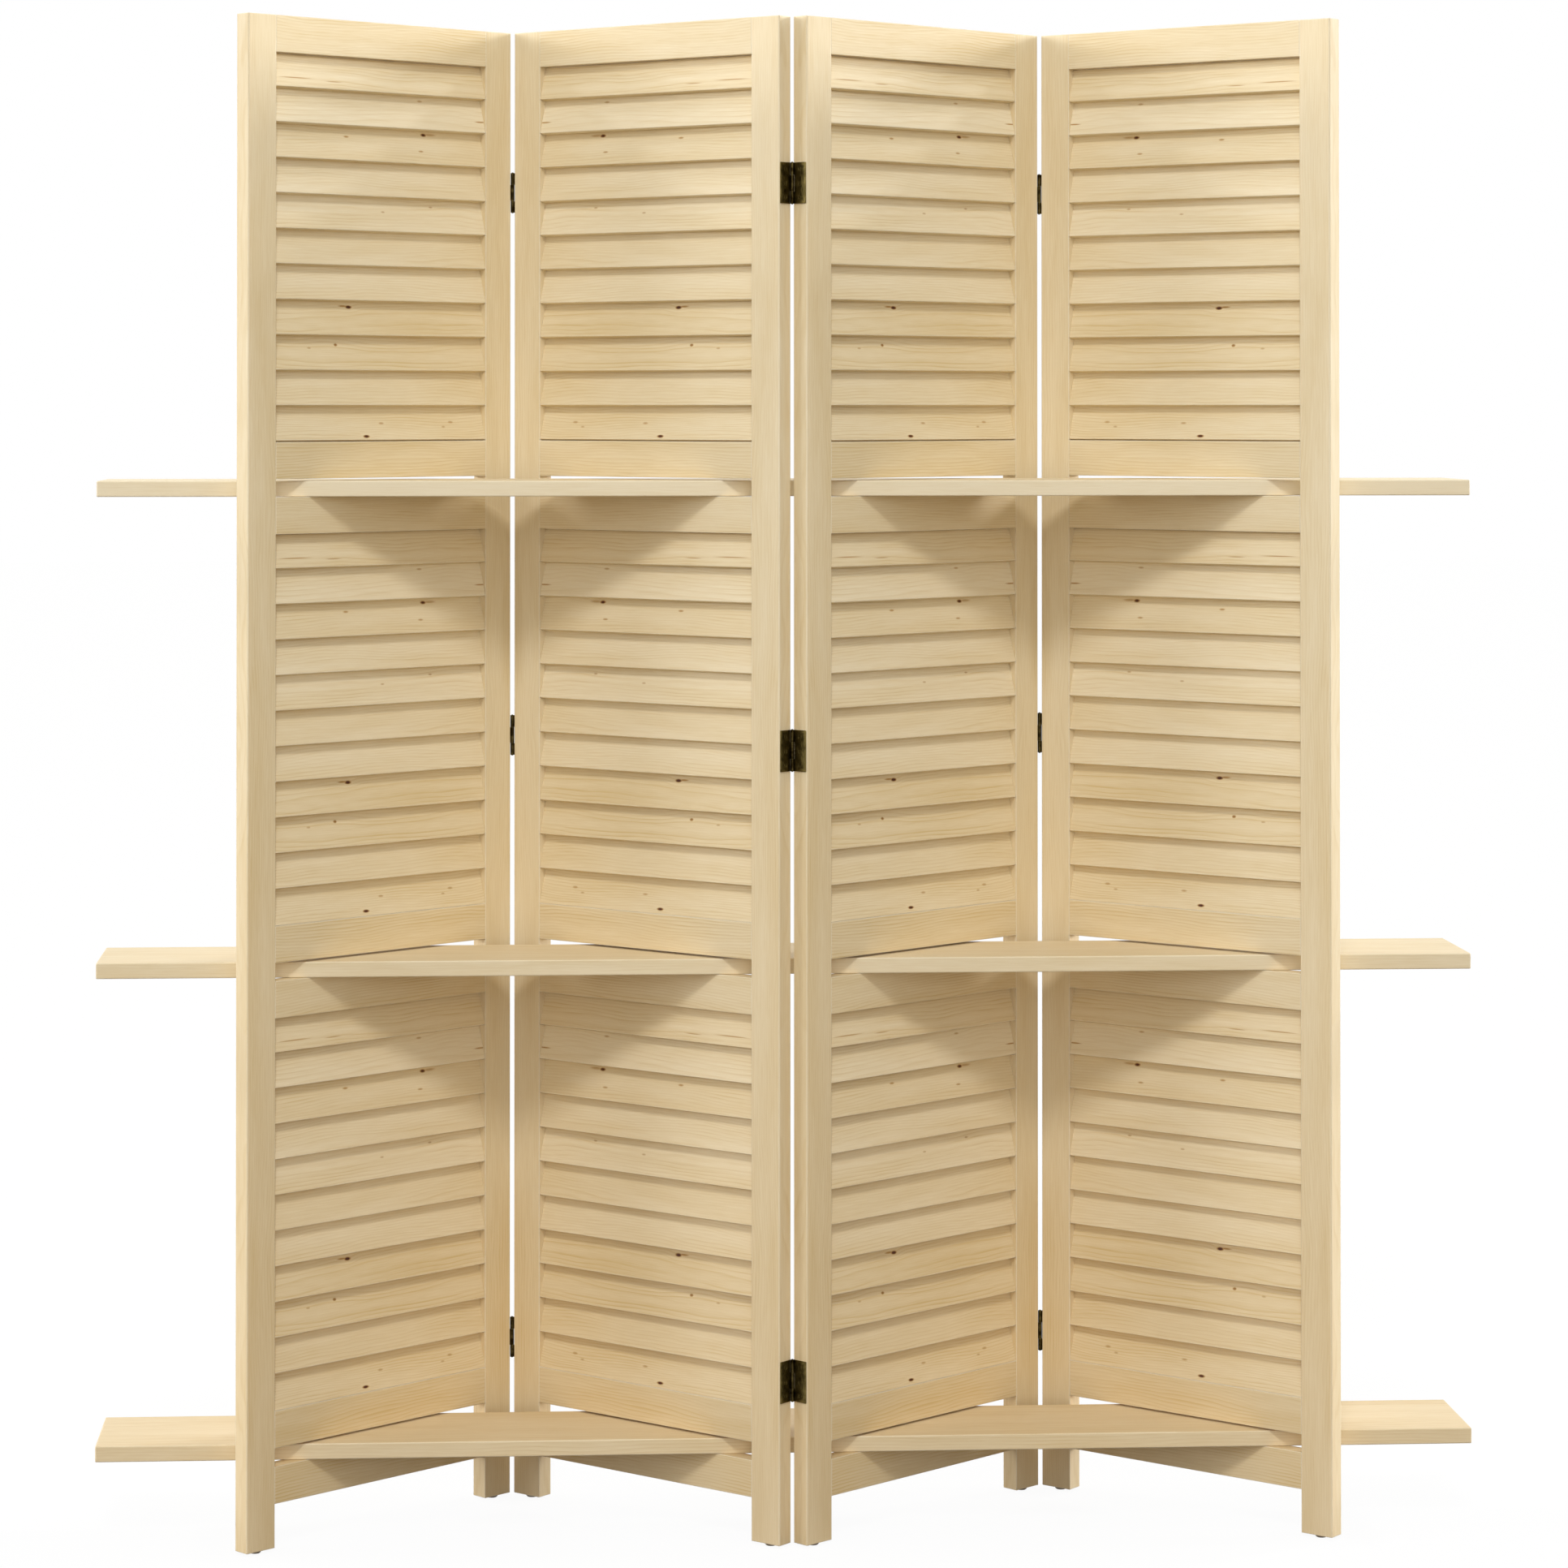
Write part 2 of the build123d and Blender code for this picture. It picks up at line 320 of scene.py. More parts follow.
def heart_distance(tree, grain, lots, heart):
    """Distance of each point from the heart line, and how far it is to the side, in mm."""
    across, deep = grain[1:3]
    wander = put(tree, "Math", (streaks(tree, grain, 260, 70, 2), 2 * WANDER, -WANDER),
                 operation="MULTIPLY_ADD")
    ripple = put(tree, "Math", (streaks(tree, grain, 60, 14, 1, 3.0), 2 * RIPPLE, -RIPPLE),
                 operation="MULTIPLY_ADD")
    heart_across = put(tree, "Math", (lots[0], 2 * heart[0], -heart[0]), operation="MULTIPLY_ADD")
    heart_deep = put(tree, "Math", (lots[1], heart[1], HEART_DEPTH), operation="MULTIPLY_ADD")
    sideways = put(tree, "Math", (across, heart_across), operation="SUBTRACT")
    sideways = put(tree, "Math", (sideways, wander), operation="ADD")
    sideways = put(tree, "Math", (sideways, ripple), operation="ADD")
    inwards = put(tree, "Math", (deep, heart_deep), operation="ADD")
    from_heart = put(tree, "CombineXYZ", (0, sideways, inwards))
    radius = put(tree, "VectorMath", (from_heart,), operation="LENGTH").outputs["Value"]
    return radius, sideways


def year_rings(tree, radius):
    """Each ring from its pale start to its dark end, in greys."""
    rings = put(tree, "Math", (radius, RING_WIDTH), operation="DIVIDE")
    ring = put(tree, "ValToRGB", (put(tree, "Math", (rings,), operation="FRACT"),))
    stops = ring.color_ramp.elements
    stops[0].position, stops[0].color = 0.0, (0.1, 0.1, 0.1, 1)
    stops[1].position, stops[1].color = 1.0, (0.1, 0.1, 0.1, 1)
    stops.new(0.55).color = (0.3, 0.3, 0.3, 1)
    stops.new(0.86).color = (1, 1, 1, 1)
    return ring


print("rings", RING_WIDTH, "mm wide")

# %% [markdown]
# ## Knots
# A knot is the foot of a branch. It shows as a small red-brown spot that the rings bend
# round, with short brown streaks near it. Only a few slats have one, so each knot is a small
# oval at a chosen place, soft at its rim.

# %% Knots and streaks
MARK_SPACE = 1000  # keeps the marks of one slat off the next


def small_marks(tree, grain, piece, marks, radius):
    """How strongly marks show at each point, and the distance from the heart bent by knots."""
    slat = put(tree, "Math", (piece, MARK_SPACE), operation="MULTIPLY")
    here = put(tree, "CombineXYZ", (grain[0], grain[1], slat))
    spots = 0.0
    for row, mark_along, mark_across, length, height, depth in marks:
        scale = Vector((1 / length, 1 / height, 1))
        offset = Vector((-mark_along / length, -mark_across / height, -MARK_SPACE * row))
        away = put(tree, "VectorMath", (here, scale, offset), operation="MULTIPLY_ADD")
        away = put(tree, "VectorMath", (away,), operation="LENGTH").outputs["Value"]
        if length > 3 and height > 1.5:  # a knot, which the rings bend round
            bend = put(tree, "MapRange", (away, 0, 5, 3.2, 0), interpolation_type="SMOOTHSTEP")
            radius = put(tree, "Math", (radius, bend), operation="ADD")
        spot = put(tree, "MapRange", (away, 0.35, 1.3, depth, 0),
                   interpolation_type="SMOOTHSTEP")
        spots = put(tree, "Math", (spots, spot), operation="MAXIMUM")
    return spots, radius


# %% [markdown]
# ## Colour of the planed face
# A freshly planed face goes from cream in the pale part of a ring to straw in the dark part.
# Broad clouds, the fibres and the tone of the piece as a whole shift it a little. Where a
# ring lies flat under the face it is cut at a slant, and its edges fade.

# %% Colour along the face
FIBRE_WIDTH = 0.9  # mm
NEUTRAL = 0.63  # taken off the sum of clouds and fibres, so that a tone of 0 is a pale piece
wood_light = colour("F0E2C3")
wood_dark = colour("D8BF8B")


def planed_colour(tree, grain, lot, rings, fibre, tone, figure):
    """Colour from the ring pattern, its radius and its distance to the side."""
    ring, radius, sideways = rings
    cloud = streaks(tree, grain, 220, 24, 3, 5.0)
    strength = streaks(tree, grain, 150, 30, 2, 9.0)
    strength = put(tree, "MapRange", (strength, 0.35, 0.7, 0.12, 0.62))
    lines = put(tree, "Math", (ring, strength), operation="MULTIPLY")
    lines = put(tree, "Math", (lines, figure), operation="MULTIPLY")
    slant = put(tree, "Math", (put(tree, "Math", (sideways,), operation="ABSOLUTE"), radius),
                operation="DIVIDE")
    slant = put(tree, "MapRange", (slant, 0.05, 0.45, 0.1, 1))
    lines = put(tree, "Math", (lines, slant), operation="MULTIPLY")
    palest = tone[0] - tone[1] / 2 - NEUTRAL
    shade = put(tree, "Math", (lot, tone[1], palest), operation="MULTIPLY_ADD")
    shade = put(tree, "Math", (cloud, 0.9, shade), operation="MULTIPLY_ADD")
    shade = put(tree, "Math", (fibre, 0.7, shade), operation="MULTIPLY_ADD")
    shade = put(tree, "Math", (shade, lines), operation="ADD")
    return put(tree, "Mix", {0: shade, 6: wood_light, 7: wood_dark}, data_type="RGBA",
               clamp_factor=True).outputs[2]


print("bundles of fibres", FIBRE_WIDTH, "mm wide")

# %% [markdown]
# ## The whole wood
# What the maker's tools did comes last, with some painted light. Sawn ends drink more finish
# and look darker. A painted highlight lays a pale line along the arrises, where a rounded edge
# would catch the light, and painted shade darkens and warms the colour from 1.2 m down to the
# floor. Planing leaves the dark part of the rings a hair higher than the soft part, and a knot
# a little lower.

# %% Edges, and the wood as a whole
RELIEF = 0.12 * MM  # how deep the fibres are felt
LOG_STEP = 7.31  # from piece to piece in the fourth direction of the noise
wood_end = colour("C9A46C")
# Colour that the lower screen is multiplied towards, as painted shade
painted_low_shade = colour("FAF3E9")
# Colour of the painted highlight along the arrises
painted_arris_light = colour("FFF6E2")
wood_streak = colour("B48A4E")
wood_knot = colour("4A1E0C")


def edge_finder(tree, radius):
    """The normal of rounded edges, and how level the true face is with it: 1 off the edges."""
    rounded = put(tree, "Bevel", {"Radius": radius}, samples=4)
    flat = put(tree, "NewGeometry").outputs["True Normal"]
    level = put(tree, "VectorMath", (rounded, flat), operation="DOT_PRODUCT").outputs["Value"]
    return rounded, level


def wood(tree, along, across, deep, piece, end_axis, heart, tone, figure, marks=()):
    """Planed softwood.

    The inputs after the tree are the grain's own directions in mm and the number of the
    piece. The sawn ends face along end_axis. The heart lies up to heart[0] mm to the side,
    and up to heart[1] mm deeper than its least depth. The tone is tone[0], give or take half
    of tone[1], the figure is how strongly the rings show, and the marks are knots and streaks.
    """
    chance = put(tree, "TexWhiteNoise", {"W": piece}, noise_dimensions="1D")
    lots = put(tree, "SeparateColor", (chance.outputs["Color"],)).outputs
    shift = put(tree, "Math", (piece, LOG_STEP), operation="MULTIPLY")
    grain = (along, across, deep, shift)
    radius, sideways = heart_distance(tree, grain, lots, heart)
    spots = 0.0
    if marks:
        spots, radius = small_marks(tree, grain, piece, marks, radius)
    ring = year_rings(tree, radius)
    fibre = streaks(tree, grain, 26, FIBRE_WIDTH, 2, 11.0)
    rings = (ring, radius, sideways)
    base = planed_colour(tree, grain, lots[2], rings, fibre, tone, figure)

    place = put(tree, "TexCoord").outputs
    facing = put(tree, "VectorMath", (place["Normal"], end_axis), operation="DOT_PRODUCT")
    facing = put(tree, "Math", (facing.outputs["Value"],), operation="ABSOLUTE")
    end = put(tree, "MapRange", (facing, 0.8, 0.95, 0, 0.5))
    base = put(tree, "Mix", {0: end, 6: base, 7: wood_end}, data_type="RGBA").outputs[2]

    # Painted shade: the colour is multiplied darker and warmer from 1.2 m down to the floor,
    # where the lower screen gets less light
    above_floor = put(tree, "SeparateXYZ", (place["Object"],)).outputs["Z"]
    low = put(tree, "MapRange", (above_floor, 0, 1.2, 1, 0))
    low = put(tree, "Math", (low, 1.6), operation="POWER")
    base = put(tree, "Mix", {0: low, 6: base, 7: painted_low_shade}, data_type="RGBA",
               blend_type="MULTIPLY").outputs[2]

    # Painted highlight: a pale line along the arrises, where a rounded edge would catch the light
    rounded, level = edge_finder(tree, 1.5 * MM)
    arris_highlight = put(tree, "MapRange", (level, 0.99, 0.9, 0, 1))
    base = put(tree, "Mix", {0: arris_highlight, 6: base, 7: painted_arris_light}, data_type="RGBA").outputs[2]

    if marks:
        streak = put(tree, "MapRange", (spots, 0, 0.5, 0, 1))
        base = put(tree, "Mix", {0: streak, 6: base, 7: wood_streak}, data_type="RGBA").outputs[2]
        dark = put(tree, "MapRange", (spots, 0.5, 1, 0, 1))
        base = put(tree, "Mix", {0: dark, 6: base, 7: wood_knot}, data_type="RGBA").outputs[2]

    hair = put(tree, "Math", (fibre, 0.6), operation="MULTIPLY")
    relief = put(tree, "Math", (ring, 0.25, hair), operation="MULTIPLY_ADD")
    relief = put(tree, "Math", (spots, -2, relief), operation="MULTIPLY_ADD")
    bump = put(tree, "Bump", {"Strength": 0.35, "Distance": RELIEF, "Height": relief,
                              "Normal": rounded})
    rough = put(tree, "MapRange", (fibre, 0.3, 0.7, 0.46, 0.62))
    skin = put(tree, "BsdfPrincipled", {
        "Base Color": base, "Roughness": rough, "Normal": bump, "IOR": 1.5,
        "Specular IOR Level": 0.35,
    })
    put(tree, "OutputMaterial", (skin,))


# %% [markdown]
# ## Stiles and rails
# A stile is cut with its grain upright, a rail with its grain level, because wood is strong
# along its fibres and hardly moves in that direction. The change of direction at the butt
# line is what makes a frame read as joined pieces. Both are sawn from straight stock, so
# their heart lies far off and their lines run nearly parallel to the edges.

# %% Stile and rail wood
FRAME_TONE = (0.10, 0.22)  # panels 2 and 4, then 1 and 3, which are drawn slightly yellower
FRAME_SPREAD = 0.1  # how far the tone differs from piece to piece
LOWEST_SLOT = 103.05  # mm from the floor to the middle of the lowest slot
STILE_NUMBERS, RAIL_NUMBERS, BOARD_NUMBERS = 40, 60, 80  # where each kind of piece starts


def stile_wood(panel):
    material, tree = new_material("planed_softwood_stile_%d" % panel)
    x, y, z = panel_millimetres(tree, panel)
    side = put(tree, "Math", (x, 0), operation="GREATER_THAN")
    piece = put(tree, "Math", (side, STILE_NUMBERS), operation="ADD")
    tone = (FRAME_TONE[panel % 2], FRAME_SPREAD)
    wood(tree, z, x, y, piece, (0, 0, 1), (20, 70), tone, 0.6)
    return material


def rail_wood(panel):
    material, tree = new_material("planed_softwood_rail_%d" % panel)
    x, y, z = panel_millimetres(tree, panel)
    # The middles of the slots and of the louvre sections part one rail from the next
    rank = put(tree, "Math", (z, LOWEST_SLOT), operation="SUBTRACT")
    rank = put(tree, "Math", (rank, SECTION_PITCH / 2), operation="DIVIDE")
    rank = put(tree, "Math", (rank,), operation="FLOOR")
    piece = put(tree, "Math", (rank, RAIL_NUMBERS), operation="ADD")
    turn = panel_turn(panel)
    tone = (FRAME_TONE[panel % 2], FRAME_SPREAD)
    wood(tree, x, z, y, piece, (cos(turn), sin(turn), 0), (25, 60), tone, 1.3)
    return material


print("tones of the frames:", FRAME_TONE)

# %% [markdown]
# ## Slats
# The slats are thin and come from all over the log, so each has its own figure: some plain,
# some with arches, a few with a small red-brown knot. They overlap like roof tiles, so a
# slat can't be told from its height alone. Measured square to the slats' faces, though,
# each one fills its own step, and the whole number of steps is the number of the slat.

# %% Slat wood
slat_step = SLAT_PITCH * sin(SLAT_TILT)
front_of_lowest = ((SLAT_SETBACK - PANEL_THICKNESS / MM / 2) * cos(SLAT_TILT)
                   - SLAT_THICKNESS * sin(SLAT_TILT) * sin(SLAT_TILT))

# Knots and streaks: slat counted from the bottom, mm from the panel's middle, mm up from the
# slat's lower edge, half length, half height, and how dark
slat_marks = (
    (8, 68, 34, 4.2, 2.0, 1.0), (8, 78, 34.5, 9, 1.6, 0.35), (8, -48, 27, 4, 1.4, 0.45),
    (8, 60, 14, 4, 1.3, 0.4), (3, -43.5, 32, 4.6, 2.1, 1.1), (3, -51.5, 33, 7, 1.2, 0.5),
    (2, -63, 28.5, 2.6, 1.8, 0.7), (2, -102, 24.5, 3, 1.2, 0.3), (0, -23, 3.2, 4.6, 1.8, 1.1),
    (0, 2, 18.5, 4, 1.4, 0.35), (0, 106, 19.5, 4, 1.5, 0.35), (0, 94, 14, 3, 1.2, 0.3),
    (10, -125, 10, 24, 0.8, 0.42), (10, -70, 8, 12, 0.8, 0.36), (9, 150, 12, 9, 0.9, 0.5),
    (9, 62, 33, 4, 1.4, 0.35), (6, 78, 30, 3, 1.2, 0.35), (6, 5, 22, 3, 1.2, 0.3),
)


def slat_wood(panel):
    material, tree = new_material("planed_softwood_slats_%d" % panel)
    x, y, z = panel_millimetres(tree, panel)
    up = put(tree, "Math", (z, LOWEST_SECTION), operation="SUBTRACT")
    up = put(tree, "Math", (up, SECTION_PITCH), operation="FLOORED_MODULO")
    here = put(tree, "CombineXYZ", (x, y, up))
    square = (0, cos(SLAT_TILT), -sin(SLAT_TILT))
    upright = (0, sin(SLAT_TILT), cos(SLAT_TILT))
    through = put(tree, "VectorMath", (here, square), operation="DOT_PRODUCT").outputs["Value"]
    rise = put(tree, "VectorMath", (here, upright), operation="DOT_PRODUCT").outputs["Value"]
    margin = (slat_step - SLAT_THICKNESS) / 2
    first = (front_of_lowest + SLAT_THICKNESS + margin) / slat_step
    steps = put(tree, "Math", (through, -1 / slat_step, first), operation="MULTIPLY_ADD")
    number = put(tree, "Math", (steps,), operation="FLOOR")
    slat_rise = -SLAT_PITCH * cos(SLAT_TILT)
    across = put(tree, "Math", (number, slat_rise, rise), operation="MULTIPLY_ADD")
    deep = put(tree, "Math", (number, slat_step, through), operation="MULTIPLY_ADD")
    turn = panel_turn(panel)
    ends = (cos(turn), sin(turn), 0)
    wood(tree, x, across, deep, number, ends, (26, 22), (0.07, 0.34), 1.1, slat_marks)
    return material


print("knots and streaks on the slats of a section:", len(slat_marks))

# %% [markdown]
# ## Boards
# The shelves are long plain boards, cut wider than a stile and from deeper in the log, so
# their lines run nearly straight from end to end. They are the palest pieces. Each board
# counts as one storey, which gives it a stretch of the log of its own.

# %% Board wood
STOREY = 500  # mm, less than the height from one board to the next


def board_wood():
    material, tree = new_material("planed_softwood_boards")
    place = put(tree, "TexCoord")
    local = put(tree, "VectorMath", (place.outputs["Object"], (1 / MM, 1 / MM, 1 / MM)),
                operation="MULTIPLY")
    x, y, z = put(tree, "SeparateXYZ", (local,)).outputs
    storey = put(tree, "Math", (z, STOREY), operation="DIVIDE")
    storey = put(tree, "Math", (storey,), operation="FLOOR")
    piece = put(tree, "Math", (storey, BOARD_NUMBERS), operation="ADD")
    wood(tree, x, y, z, piece, (1, 0, 0), (50, 50), (-0.04, 0.1), 1)
    return material


boards = board_wood()
print("board wood:", boards.name)

# %% [markdown]
# ## Soft arrises
# A planed edge is sharp enough to splinter, so the maker takes it off with a few strokes of
# fine paper. The rounding is only a third of a millimetre, yet it catches the light as a
# thin pale line and makes the edge look like wood. The weld first joins the corners that
# the CAD file keeps apart for each face, and the bevel then rounds only the true edges. Both
# leave some flat faces with slanting normals, which would shade them in triangles, so the
# last modifier sets the normals of the flat faces straight again.

# %% Give the frame its wood
ARRIS = 0.35 * MM
WELD = 0.002 * MM  # corners nearer than this are one corner
SHARP = radians(35)  # an edge that turns more than this is rounded


def dress(node, material):
    """Gives a CAD node one material and sanded arrises."""
    node.data.materials.clear()
    node.data.materials.append(material)
    weld = node.modifiers.new("joined_corners", "WELD")
    weld.merge_threshold = WELD
    round_off = node.modifiers.new("sanded_arris", "BEVEL")
    round_off.width = ARRIS
    round_off.segments = 2
    round_off.limit_method = "ANGLE"
    round_off.angle_limit = SHARP
    even = node.modifiers.new("even_faces", "WEIGHTED_NORMAL")
    even.keep_sharp = True
    even.weight = 100  # the largest face at a corner decides


for panel in PANELS:
    stiles, rails, slats = stile_wood(panel), rail_wood(panel), slat_wood(panel)
    for name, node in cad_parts.items():
        if not name.startswith("panel_%d_" % panel):
            continue
        if "stile" in name:
            dress(node, stiles)
        elif "slats" in name:
            dress(node, slats)
        elif "rail" in name:
            dress(node, rails)
for name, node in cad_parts.items():
    if name.startswith("shelf"):
        dress(node, boards)
print("wood materials:", len([m for m in bpy.data.materials if m.name.startswith("planed")]))

# %% [markdown]
# ## Lowest slats planed level
# A leaning slat stands on its back corner, and leaves a wedge of dark under its front. On the
# real screen the lowest slats of the middle and lower sections meet their rails without such
# a line, as if their lower edges were planed level. The section could be drawn anew, but only
# four corners of it differ. So its mesh is copied, and on the copy the lowest slat's front
# corners are drawn down to the rail. The copy then stands for the section's CAD node.

# %% Level toes
TOE = SLAT_THICKNESS * MM * sin(SLAT_TILT)  # how far the front corners stand above the rail
TOE_ARRIS = 0.2 * MM
SAME_LEVEL = 0.1 * MM  # heights nearer than this are the same


def planed_section(panel, name):
    """A section of slats with the lowest one planed level under its front corners."""
    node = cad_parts["panel_%d_slats_%s" % (panel, name)]
    front = Matrix.Rotation(panel_turn(panel), 3, "Z") @ Vector((0, -1, 0))
    shape = bmesh.new()
    shape.from_mesh(node.data)
    shape.transform(node.matrix_world)
    bmesh.ops.remove_doubles(shape, verts=shape.verts, dist=WELD)
    lowest = min(v.co.z for v in shape.verts)
    corners = [v for v in shape.verts if lowest + 0.5 * TOE < v.co.z < lowest + 2 * TOE]
    bottom = min(v.co.z for v in corners)
    on_face = [v for v in corners if v.co.z > bottom + SAME_LEVEL]
    under = [v for v in corners if v.co.z <= bottom + SAME_LEVEL]
    # The corners on the front face slide down along it, and those under it come down level
    target = lowest + TOE_ARRIS
    for corner in on_face:
        corner.co += front * (corner.co.z - target) * sin(SLAT_TILT) / cos(SLAT_TILT)
        corner.co.z = target
    outer = max(v.co.dot(front) for v in corners)
    for corner in under:
        corner.co += front * (outer - TOE_ARRIS - corner.co.dot(front))
        corner.co.z = lowest
    mesh = bpy.data.meshes.new("planed_slats_%d_%s" % (panel, name))
    shape.to_mesh(mesh)
    shape.free()
    piece = bpy.data.objects.new(mesh.name, mesh)
    bpy.context.scene.collection.objects.link(piece)
    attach(piece, "panel_%d" % panel)
    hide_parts(node.name)
    return piece, len(corners)


for panel in PANELS:
    for name in ("middle", "lower"):
        slats = bpy.data.materials["planed_softwood_slats_%d" % panel]
        piece, moved = planed_section(panel, name)
        dress(piece, slats)
print("corners drawn down on each lowest slat:", moved)

# %% [markdown]
# ## Helpers for metal and plastic pieces
# The hinges and glides are small turned and pressed pieces. In the CAD they have few faces;
# here each one is drawn again with smooth barrels, rounded corners and screws, and stands
# for its CAD node. A mesh built in one place is copied to each of its places, so that the
# three hinges of a joint form one piece, as they do in the CAD.


# %% Mesh helpers
def mesh_piece(name, shape, places, material):
    """An object with one copy of a bmesh at each place."""
    whole = bmesh.new()
    for place in places:
        part = shape.copy()
        part.transform(place)
        loose = bpy.data.meshes.new("loose")
        part.to_mesh(loose)
        part.free()
        whole.from_mesh(loose)
        bpy.data.meshes.remove(loose)
    if places[0].determinant() < 0:  # a mirrored place turns the faces inside out
        bmesh.ops.reverse_faces(whole, faces=whole.faces)
    mesh = bpy.data.meshes.new(name)
    whole.to_mesh(mesh)
    whole.free()
    mesh.materials.append(material)
    piece = bpy.data.objects.new(name, mesh)
    bpy.context.scene.collection.objects.link(piece)
    return piece


def smooth(piece, angle):
    """Rounds the shading of a piece except over edges sharper than this angle in degrees."""
    for face in piece.data.polygons:
        face.use_smooth = True
    piece.data.set_sharp_from_angle(angle=radians(angle))


def lathe(shape, profile, sides):
    """Adds a turned solid round the vertical axis: a profile of (radius, height) pairs."""
    rings = []
    for radius, height in profile:
        if radius == 0:
            rings.append([shape.verts.new((0, 0, height))])
            continue
        steps = [2 * pi * i / sides for i in range(sides)]
        rings.append([shape.verts.new((radius * cos(t), radius * sin(t), height)) for t in steps])
    for low, high in zip(rings, rings[1:]):
        for i in range(sides):
            j = (i + 1) % sides
            corners = [low[i % len(low)], low[j % len(low)]]
            corners += [high[j % len(high)], high[i % len(high)]]
            shape.faces.new(dict.fromkeys(corners))


# %% [markdown]
# ## Blackened brass hinges
# Each butt hinge is two pressed leaves whose edges are rolled round a pin: one leaf has the
# knuckle in the middle, the other the two at the ends. The brass was darkened in a bath to
# an antique finish, so it is nearly black, above all on the rolled barrel, and shows a
# little yellow in patches and along the edges that hands have rubbed. Three small
# countersunk screws hold each leaf. The pin stands level with the face on which the two
# panels close.

# %% Antique brass
BLOTCH = 7 * MM  # patches that the bath left thin
GRIT = 0.9 * MM  # pits of the tumbled sheet, much finer on the real leaf, drawn to show
BARREL_BRASS = -0.22  # how much less bare brass the rolled barrel shows than the leaves


def antique_brass():
    material, tree = new_material("blackened_brass")
    place = put(tree, "TexCoord").outputs["Object"]
    blotch = put(tree, "TexNoise", {"Vector": place, "Scale": 1 / BLOTCH, "Detail": 4,
                                    "Roughness": 0.6})
    grit = put(tree, "TexNoise", {"Vector": place, "Scale": 1 / GRIT, "Detail": 3})
    worn = put(tree, "Math", (grit, 0.35), operation="MULTIPLY")
    worn = put(tree, "Math", (blotch, 0.75, worn), operation="MULTIPLY_ADD")
    worn = put(tree, "MapRange", (worn, 0.35, 0.8, 0.04, 0.66))
    level = edge_finder(tree, 0.5 * MM)[1]
    rubbed = put(tree, "MapRange", (level, 0.99, 0.85, 0, 0.3))
    worn = put(tree, "Math", (worn, rubbed), operation="ADD")
    barrel = put(tree, "Attribute", attribute_name="barrel").outputs["Fac"]
    worn = put(tree, "Math", (barrel, BARREL_BRASS, worn), operation="MULTIPLY_ADD")
    skin_colour = put(tree, "Mix", {0: worn, 6: colour("1C1304"), 7: colour("95844F")},
                      data_type="RGBA").outputs[2]
    rough = put(tree, "MapRange", (grit, 0.3, 0.7, 0.28, 0.5))
    relief = put(tree, "Math", (grit, 0.4, blotch), operation="MULTIPLY_ADD")
    bump = put(tree, "Bump", {"Strength": 0.25, "Distance": 0.15 * MM, "Height": relief})
    skin = put(tree, "BsdfPrincipled", {
        "Base Color": skin_colour, "Metallic": 1.0, "Roughness": rough, "Normal": bump,
        "Specular Tint": colour("9A8A66"),
    })
    put(tree, "OutputMaterial", (skin,))
    return material


brass = antique_brass()
print("hinge finish:", brass.name)

# %% [markdown]
# ## The plate of a leaf
# A leaf is stamped from sheet: a flat plate with rounded corners, three countersunk holes and
# notches in which the other leaf's knuckles turn. A filled curve suits it. Its outline is a
# list of points, the holes are further outlines, and a small bevel rounds the edges as a
# press does.

# %% Leaf plate
LEAF_HEIGHT = 46 * MM
LEAF_WIDTH = 19.4 * MM  # from the pin's axis to the free edge, which meets the stile's arris
LEAF_THICKNESS = 1.1 * MM
KNUCKLE_RADIUS = 2.2 * MM
KNUCKLE_SHARE = 0.41  # of the leaf's height, for the middle knuckle
END_PLAY = 0.2 * MM  # between one knuckle and the next
NOTCH = 0.3 * MM  # clearance of a leaf round the other leaf's knuckle
LEAF_CORNER = 0.9 * MM
LEAF_EDGE = 0.22 * MM  # rounding that pressing leaves on the leaf's edges
SCREW_HEAD = 2.15 * MM
SCREW_COLUMN = 10.6 * MM  # from the pin's axis
SCREW_ROWS = (-0.35, -0.02, 0.34)  # shares of the leaf's height
LIP = 0.6  # share of the plate's root at which a knuckle's sheet leaves the plate
plate_root = sqrt((KNUCKLE_RADIUS + NOTCH) ** 2 - (HINGE_GAP / 2 - LEAF_THICKNESS) ** 2)


def arc(centre, radius, start, end, steps):
    """Points of an arc, angles in degrees."""
    turns = [radians(start + (end - start) * i / steps) for i in range(steps + 1)]
    return [(centre[0] + radius * cos(t), centre[1] + radius * sin(t)) for t in turns]


